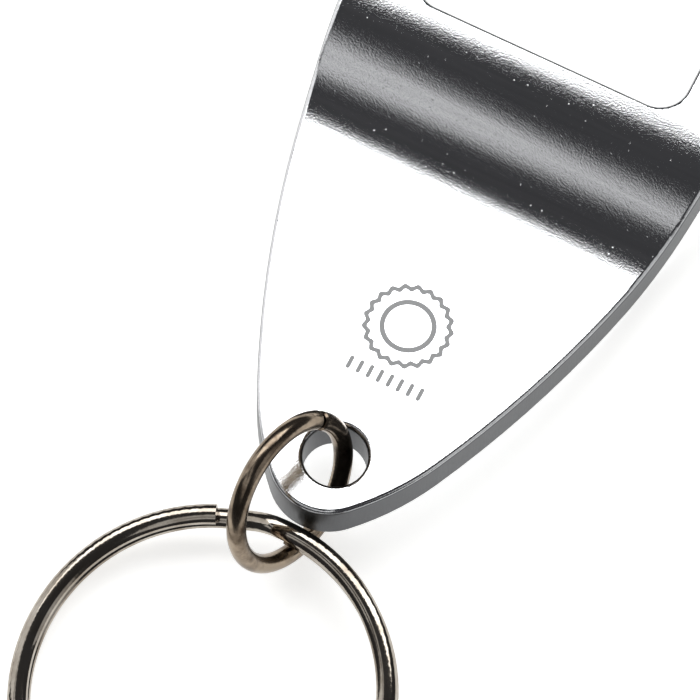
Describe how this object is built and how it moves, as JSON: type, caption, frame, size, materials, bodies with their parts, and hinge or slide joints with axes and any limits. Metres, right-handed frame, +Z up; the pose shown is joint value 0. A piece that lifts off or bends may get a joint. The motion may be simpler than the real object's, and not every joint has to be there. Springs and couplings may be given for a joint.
{
  "type": "keychain bottle opener",
  "caption": "Bent aluminium plate with a bottle-cap mouth in its head, and a wire jump ring and a split key ring hung through the hole in its tip.",
  "frame": {"origin": "bottom centre of the whole object's box, on the table it lies on", "axes": "+Z up from the table, +Y along the plate from the ring end to the cap mouth, +X across the plate"},
  "size_m": [0.0284, 0.0822, 0.011],
  "materials": {
    "plate": "bright tumbled and polished aluminium",
    "jump_wire": "nickel-plated steel wire, slightly dulled",
    "ring_wire": "nickel-plated oval steel wire, bright"
  },
  "bodies": {
    "plate": {"opener_plate": "plate"},
    "jump_ring": {"jump_ring": "jump_wire"},
    "split_ring": {"split_ring": "ring_wire"}
  },
  "joints": [
    {"name": "jump_ring_swing", "type": "hinge", "parent": "plate", "child": "jump_ring", "pos_m": [-0.00109, -0.01484, 0.00569], "axis": [-0.9235, 0.1562, -0.3504], "range_deg": [-3, 150]},
    {"name": "split_ring_turn", "type": "hinge", "parent": "jump_ring", "child": "split_ring", "pos_m": [-0.00055, -0.0285, 0.00223], "axis": [-0.0892, -0.0624, 0.9941], "continuous": true}
  ]
}
